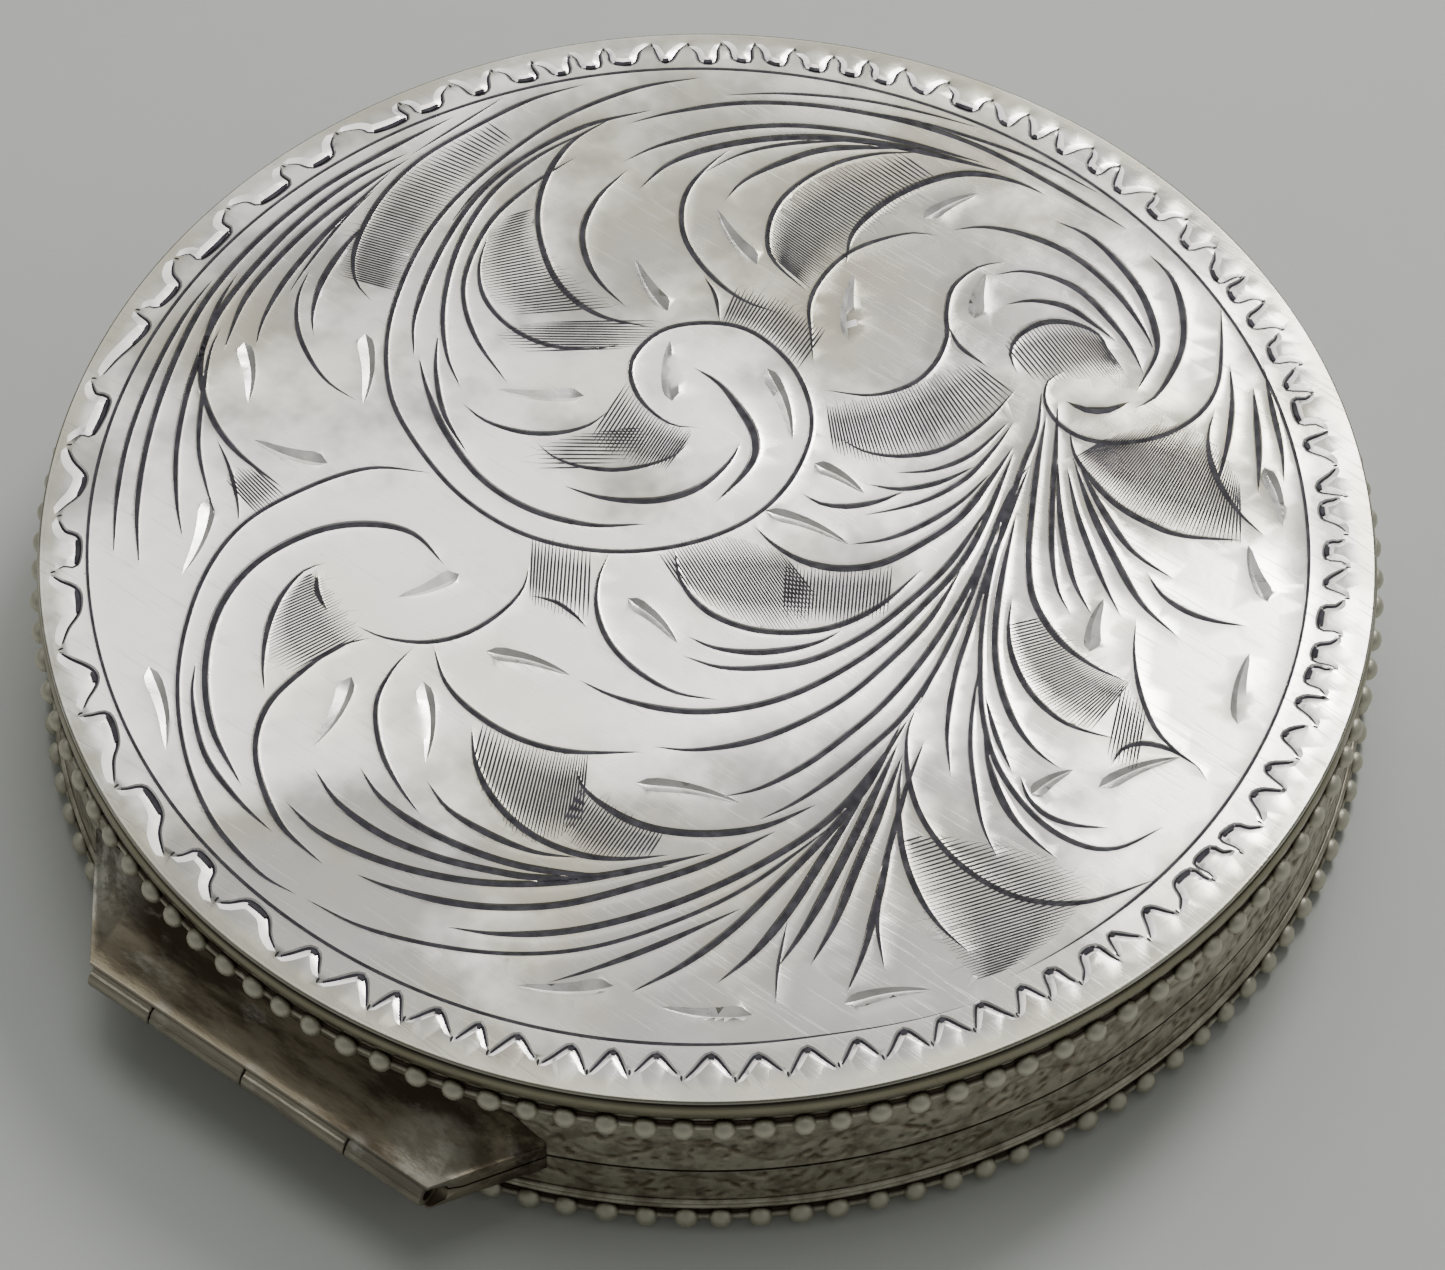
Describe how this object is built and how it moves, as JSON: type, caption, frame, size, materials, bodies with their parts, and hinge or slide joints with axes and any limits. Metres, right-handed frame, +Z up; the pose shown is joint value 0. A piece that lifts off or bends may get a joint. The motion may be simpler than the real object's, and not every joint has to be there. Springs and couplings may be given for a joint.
{
  "type": "pill box",
  "caption": "Round flat silver pill box with a hinged lid, beaded edges, chased side bands and a box-shaped hinge lug.",
  "frame": {"origin": "centre of the round box on its flat underside", "axes": "+Z up through the lid, +Y towards the hinge, X along the hinge pin"},
  "size_m": [0.052, 0.0545, 0.0086],
  "materials": {
    "polished_silver": "polished and hand engraved, with fine wear scratches",
    "chased_silver": "chased and oxidised in the recesses",
    "beaded_silver": "worn bright on the beads, dark between them",
    "tarnished_silver": "brown tarnish, rubbed bright along the edges",
    "inner_silver": "plain satin inside"
  },
  "bodies": {
    "base": {"base_plate": "polished_silver", "base_wall": "chased_silver", "base_ridge_wire": "chased_silver", "base_beading": "beaded_silver", "base_bezel": "inner_silver", "base_hinge_leaf": "tarnished_silver", "base_knuckle_end": "tarnished_silver", "base_knuckle_inner": "tarnished_silver", "hinge_pin": "tarnished_silver"},
    "lid": {"lid_plate": "polished_silver", "lid_wall": "chased_silver", "lid_beading": "beaded_silver", "lid_hinge_leaf": "tarnished_silver", "lid_knuckle_inner": "tarnished_silver", "lid_knuckle_end": "tarnished_silver", "lid_thumb_piece": "polished_silver"}
  },
  "joints": [
    {"name": "lid_hinge", "type": "hinge", "parent": "base", "child": "lid", "pos_m": [0, 0.02705, 0.00356], "axis": [-1, 0, 0], "range_deg": [0, 110]}
  ]
}
